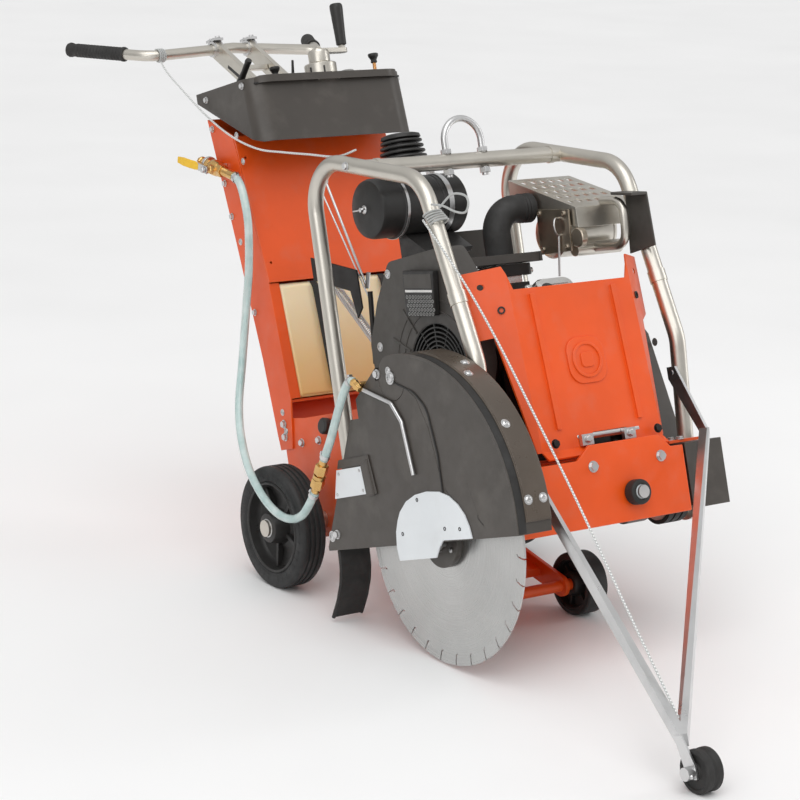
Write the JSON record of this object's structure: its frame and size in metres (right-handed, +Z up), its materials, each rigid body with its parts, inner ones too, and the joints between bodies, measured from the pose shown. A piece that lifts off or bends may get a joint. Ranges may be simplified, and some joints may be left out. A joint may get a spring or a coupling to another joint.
{
  "type": "walk-behind concrete saw",
  "caption": "Walk-behind floor saw with a guarded diamond blade, V-twin engine, hoop frame, depth crank, water feed and fold-down pointer.",
  "frame": {"origin": "middle of the footprint box on the floor that the saw stands on", "axes": "+Z up, +Y to the operator behind the saw, +X to the left-hand side of the saw; the blade is on the -X side and the pointer reaches towards -Y"},
  "size_m": [0.7256, 2.3131, 1.2046],
  "materials": {
    "orange": "gloss powder coat",
    "dark_paint": "satin powder coat",
    "black_metal": "satin black",
    "silver_metal": "satin",
    "bright_alloy": "satin cast",
    "zinc": "bright zinc",
    "blade_steel": "ground",
    "black_plastic": "moulded",
    "black_rubber": "matte",
    "tyre": "matte",
    "cream_plastic": "translucent moulded",
    "white_metal": "gloss",
    "brass": "satin",
    "yellow_plastic": "dipped",
    "clear_hose": "translucent",
    "rope_white": "braided"
  },
  "bodies": {
    "chassis": {"chassis_frame": "orange", "front_beam": "orange", "rear_axle": "silver_metal", "belt_guard": "dark_paint", "drive_belts": "black_rubber", "column": "orange", "column_cover": "orange", "fuel_tank": "cream_plastic", "console": "dark_paint", "console_panel": "dark_paint", "hoop_right": "silver_metal", "hoop_left": "silver_metal", "cross_tube": "silver_metal", "lifting_eye": "zinc", "front_cover": "orange", "engine_block": "black_metal", "rocker_covers": "bright_alloy", "fan_housing": "black_plastic", "air_filter": "black_metal", "intake_elbow": "black_rubber", "precleaner": "black_plastic", "muffler": "silver_metal", "muffler_guard": "silver_metal", "shaft_bearings": "dark_paint", "guard_rear": "dark_paint", "flange_cover": "white_metal", "guard_plate": "white_metal", "water_pipe": "zinc", "mud_flap": "black_rubber", "guard_tee": "brass", "water_valve": "brass", "fasteners": "zinc", "hose_long": "clear_hose", "hose_coupling": "brass", "hose_short": "clear_hose", "rope_rear": "rope_white", "rope_front": "rope_white"},
    "blade": {"blade_shaft": "silver_metal", "blade": "blade_steel", "blade_flanges": "dark_paint"},
    "engine_output": {"engine_pulley": "silver_metal"},
    "guard_front": {"guard_front": "dark_paint"},
    "lift_arm": {"lift_arm": "orange"},
    "front_wheel_left": {"front_wheel_left": "black_plastic"},
    "front_wheel_right": {"front_wheel_right": "black_plastic"},
    "rear_wheel_left": {"rear_wheel_left": "black_plastic", "rear_tyre_left": "tyre"},
    "rear_wheel_right": {"rear_wheel_right": "black_plastic", "rear_tyre_right": "tyre"},
    "bumper_roller": {"bumper_roller": "black_rubber"},
    "handlebar": {"handlebar": "silver_metal", "handle_grips": "black_rubber"},
    "clamp_lever": {"clamp_lever": "black_plastic"},
    "lift_crank": {"lift_crank": "silver_metal"},
    "crank_grip": {"crank_grip": "black_plastic"},
    "throttle_knob": {"throttle_knob": "black_plastic"},
    "choke_knob": {"choke_knob": "black_plastic"},
    "valve_lever": {"valve_lever": "yellow_plastic"},
    "pointer": {"pointer_frame": "zinc"},
    "pointer_wheel": {"pointer_wheel": "black_plastic"}
  },
  "joints": [
    {"name": "blade_spin", "type": "hinge", "parent": "chassis", "child": "blade", "pos_m": [-0.2825, -0.35531, 0.25654], "axis": [1, 0, 0], "continuous": true},
    {"name": "engine_spin", "type": "hinge", "parent": "chassis", "child": "engine_output", "pos_m": [0.2175, -0.18437, 0.54203], "axis": [1, 0, 0], "continuous": true},
    {"name": "guard_lift", "type": "hinge", "parent": "chassis", "child": "guard_front", "pos_m": [-0.2905, -0.2232, 0.55182], "axis": [-1, 0, 0], "range_deg": [0, 95]},
    {"name": "saw_lowering", "type": "hinge", "parent": "chassis", "child": "lift_arm", "pos_m": [0.0175, 0.03813, 0.12057], "axis": [-1, 0, 0], "range_deg": [0, 29]},
    {"name": "front_left_spin", "type": "hinge", "parent": "lift_arm", "child": "front_wheel_left", "pos_m": [0.1475, -0.24, 0.066], "axis": [1, 0, 0], "continuous": true},
    {"name": "front_right_spin", "type": "hinge", "parent": "lift_arm", "child": "front_wheel_right", "pos_m": [-0.1125, -0.24, 0.066], "axis": [1, 0, 0], "continuous": true},
    {"name": "rear_left_spin", "type": "hinge", "parent": "chassis", "child": "rear_wheel_left", "pos_m": [0.3165, 0.24, 0.131], "axis": [1, 0, 0], "continuous": true},
    {"name": "rear_right_spin", "type": "hinge", "parent": "chassis", "child": "rear_wheel_right", "pos_m": [-0.2815, 0.24, 0.131], "axis": [1, 0, 0], "continuous": true},
    {"name": "roller_spin", "type": "hinge", "parent": "chassis", "child": "bumper_roller", "pos_m": [0.0475, -0.52927, 0.34423], "axis": [0, 0.9563, -0.2924], "continuous": true},
    {"name": "handle_tilt", "type": "hinge", "parent": "chassis", "child": "handlebar", "pos_m": [0.0175, 0.78029, 1.0021], "axis": [1, 0, 0], "range_deg": [-12, 20], "deforming": ["rope_rear"]},
    {"name": "clamp_turn", "type": "hinge", "parent": "chassis", "child": "clamp_lever", "pos_m": [0.0175, 0.78029, 1.0021], "axis": [1, 0, 0], "range_deg": [-90, 0]},
    {"name": "crank_turn", "type": "hinge", "parent": "chassis", "child": "lift_crank", "pos_m": [0.0175, 0.57596, 1.05202], "axis": [0, 0.2924, 0.9563], "range_deg": [0, 2160]},
    {"name": "crank_grip_spin", "type": "hinge", "parent": "lift_crank", "child": "crank_grip", "pos_m": [0.0815, 0.6052, 1.14765], "axis": [0, 0.2924, 0.9563], "continuous": true},
    {"name": "throttle_pull", "type": "slide", "parent": "chassis", "child": "throttle_knob", "axis": [0, 0.2924, 0.9563], "range_m": [0, 0.018]},
    {"name": "choke_pull", "type": "slide", "parent": "chassis", "child": "choke_knob", "axis": [0, 0.2924, 0.9563], "range_m": [0, 0.025]},
    {"name": "valve_turn", "type": "hinge", "parent": "chassis", "child": "valve_lever", "pos_m": [-0.2385, 0.65005, 0.83947], "axis": [-1, 0, 0], "range_deg": [0, 90]},
    {"name": "pointer_fold", "type": "hinge", "parent": "chassis", "child": "pointer", "pos_m": [0.0175, -0.38624, 0.5316], "axis": [-1, 0, 0], "range_deg": [0, 100], "deforming": ["rope_front"]},
    {"name": "pointer_wheel_spin", "type": "hinge", "parent": "pointer", "child": "pointer_wheel", "pos_m": [-0.2855, -1.117, 0.039], "axis": [1, 0, 0], "continuous": true}
  ],
  "couplings": [
    {"joint": "engine_spin", "follows": "blade_spin", "ratio": 1.3333},
    {"joint": "crank_turn", "follows": "saw_lowering", "ratio": 74.466}
  ]
}
